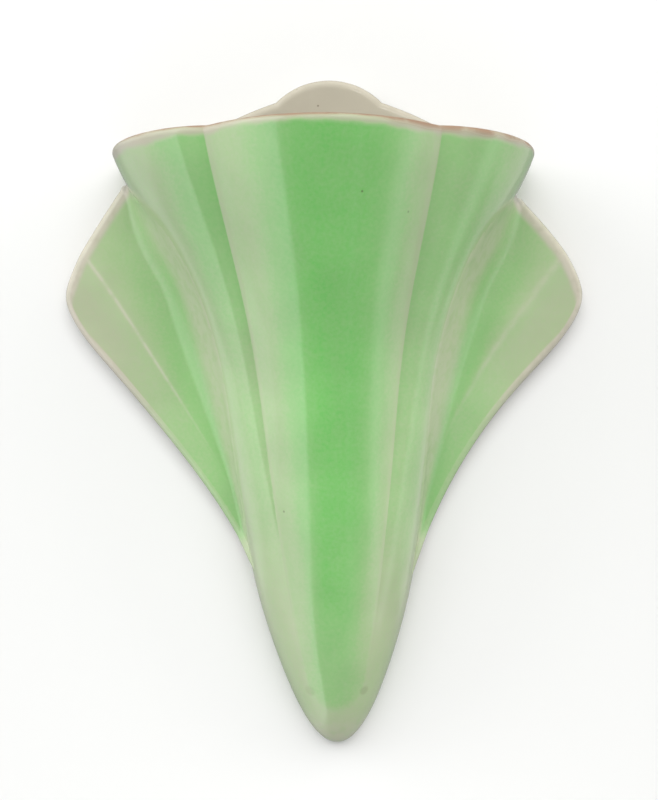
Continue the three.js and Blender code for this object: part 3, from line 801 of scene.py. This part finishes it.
# Wall and floor
# A pale painted wall that the vase hangs on, with a floor below it, joined by a round cove. Only the
# camera sees it, and from behind it is clear, so that the flat back can be looked at too.

WALL_GAP = 0.0004
FLOOR_LEVEL = -0.36
COVE_RADIUS = 0.10
STAGE_REACH = 3.0
PALE = (0.80, 0.80, 0.79, 1)

cove_turns = np.linspace(0, math.pi / 2, 13)
profile = [(-STAGE_REACH, FLOOR_LEVEL)]
for a in cove_turns:
    profile.append((WALL_GAP - COVE_RADIUS * (1 - math.sin(a)),
                    FLOOR_LEVEL + COVE_RADIUS * (1 - math.cos(a))))
profile.append((WALL_GAP, STAGE_REACH))
stage_mesh = bpy.data.meshes.new("pale_backdrop")
stage_points = [(x, y, z) for y, z in profile for x in (-STAGE_REACH, STAGE_REACH)]
stage_faces = [(2 * i, 2 * i + 1, 2 * i + 3, 2 * i + 2) for i in range(len(profile) - 1)]
stage_mesh.from_pydata(stage_points, [], stage_faces)
stage_mesh.shade_smooth()
backdrop = bpy.data.objects.new("pale_backdrop", stage_mesh)
bpy.context.collection.objects.link(backdrop)
backdrop.visible_diffuse = False
backdrop.visible_glossy = False
backdrop.visible_transmission = False
backdrop.visible_shadow = False
paint = bpy.data.materials.new("pale_wall_paint")
paint.use_nodes = True
nodes, links = paint.node_tree.nodes, paint.node_tree.links
matt = nodes["Principled BSDF"]
matt.inputs["Base Color"].default_value = PALE
matt.inputs["Roughness"].default_value = 0.9
clear = nodes.new("ShaderNodeBsdfTransparent")
facing = nodes.new("ShaderNodeNewGeometry")
blend = nodes.new("ShaderNodeMixShader")
links.new(facing.outputs["Backfacing"], blend.inputs["Fac"])
links.new(matt.outputs["BSDF"], blend.inputs[1])
links.new(clear.outputs["BSDF"], blend.inputs[2])
links.new(blend.outputs["Shader"], nodes["Material Output"].inputs["Surface"])
backdrop.data.materials.append(paint)


# Light
# Even daylight in a pale room, with a tall window on the left that shows in the gloss, two bright gaps on
# the right, soft bounces from the sides and below, and two small lamps that glint on the rounded edges.

world = bpy.data.worlds.new("pale_room")
world.use_nodes = True
world.node_tree.nodes["Background"].inputs["Color"].default_value = (0.97, 0.985, 1.0, 1)
world.node_tree.nodes["Background"].inputs["Strength"].default_value = 0.42
bpy.context.scene.world = world


def panel_light(name, azimuth, elevation, size, radiance, colour, seen_in, roll=0, fade=None, distance=2.0):
    """A flat light that faces the vase. Azimuth 0 is in front of it, and a positive one is on the right.
    A fade is a row of places across the light, from its left side, and of the share of light there."""
    lamp = bpy.data.lights.new(name, "AREA")
    lamp.shape = "RECTANGLE"
    lamp.size, lamp.size_y = size
    lamp.energy = radiance * math.pi * size[0] * size[1]
    lamp.color = colour
    if fade:
        lamp.use_nodes = True
        nodes, links = lamp.node_tree.nodes, lamp.node_tree.links
        place = nodes.new("ShaderNodeNewGeometry")
        apart = nodes.new("ShaderNodeSeparateXYZ")
        ramp = nodes.new("ShaderNodeValToRGB")
        ramp.color_ramp.interpolation = "EASE"
        for element, (position, share) in zip(ramp.color_ramp.elements, (fade[0], fade[-1])):
            element.position, element.color = position, (share, share, share, 1)
        for position, share in fade[1:-1]:
            ramp.color_ramp.elements.new(position).color = (share, share, share, 1)
        links.new(place.outputs["Parametric"], apart.inputs["Vector"])
        links.new(apart.outputs["X"], ramp.inputs["Fac"])
        links.new(ramp.outputs["Color"], nodes["Emission"].inputs["Strength"])
    holder = bpy.data.objects.new(name, lamp)
    a, e = math.radians(azimuth), math.radians(elevation)
    middle = Vector((0, -0.02, -0.08))
    towards = Vector((math.sin(a) * math.cos(e), -math.cos(a) * math.cos(e), math.sin(e)))
    holder.location = middle + towards * distance
    turned = towards.to_track_quat("Z", "Y") @ Quaternion((0, 0, 1), math.radians(roll))
    holder.rotation_euler = turned.to_euler()
    holder.visible_diffuse = seen_in != "gloss"
    holder.visible_glossy = seen_in != "matt"
    holder.visible_camera = False
    bpy.context.collection.objects.link(holder)
    return holder


panel_light("window_gloss", -85, -6, (4.3, 7.0), 1.8, (0.95, 0.97, 1.0), "gloss", roll=-14,
            fade=((0, 0.1), (0.4, 0.25), (0.7, 0.7), (1, 1)))
panel_light("window_daylight", -58, 28, (1.6, 1.6), 1.4, (0.98, 0.99, 1.0), "matt")
panel_light("front_daylight", 6, 42, (2.2, 1.8), 3.05, (1.0, 0.995, 0.98), "matt")
panel_light("left_daylight", -85, 25, (1.6, 1.6), 2.6, (0.98, 0.99, 1.0), "matt")
panel_light("right_daylight", 84, 28, (1.6, 1.6), 2.6, (1.0, 0.995, 0.98), "matt")
panel_light("floor_light", 0, -48, (2.0, 1.2), 0.35, (1.0, 0.99, 0.97), "matt")
panel_light("right_gap", 77, 5, (0.9, 3.2), 1.15, (0.97, 1.0, 0.99), "gloss",
            fade=((0, 0.48), (0.3, 0.6), (0.5, 1), (0.7, 0.6), (1, 0.48)))
panel_light("front_gap", 31, -25, (0.07, 3.0), 1.0, (0.97, 1.0, 0.98), "gloss",
            fade=((0, 0.55), (0.5, 1), (1, 0.55)))
panel_light("left_bounce", -115, 0, (1.8, 1.6), 0.6, (0.97, 0.98, 1.0), "gloss",
            fade=((0, 0.4), (0.5, 0.8), (1, 1)))
panel_light("right_bounce", 115, 0, (1.8, 1.6), 0.5, (1.0, 0.995, 0.98), "gloss")
panel_light("toe_bounce", 0, -72, (0.2, 0.2), 0.5, (1.0, 0.99, 0.97), "matt", distance=0.25)
panel_light("crest_lamp", 14, 39, (0.12, 0.12), 16, (1.0, 0.98, 0.95), "gloss")
panel_light("fin_lamp", 35, 23, (0.06, 0.06), 16, (1.0, 0.98, 0.95), "gloss")


# Camera
# It stands level with the middle of the vase and looks straight at the wall, as in the photograph.

camera_data = bpy.data.cameras.new("camera")
camera_data.sensor_width = 36
camera_data.lens = 63.5
camera = bpy.data.objects.new("camera", camera_data)
camera.location = (0, -0.430, -0.080)
camera.rotation_euler = (math.pi / 2, 0, 0)
bpy.context.collection.objects.link(camera)
bpy.context.scene.camera = camera
bpy.context.scene.view_settings.view_transform = "Standard"
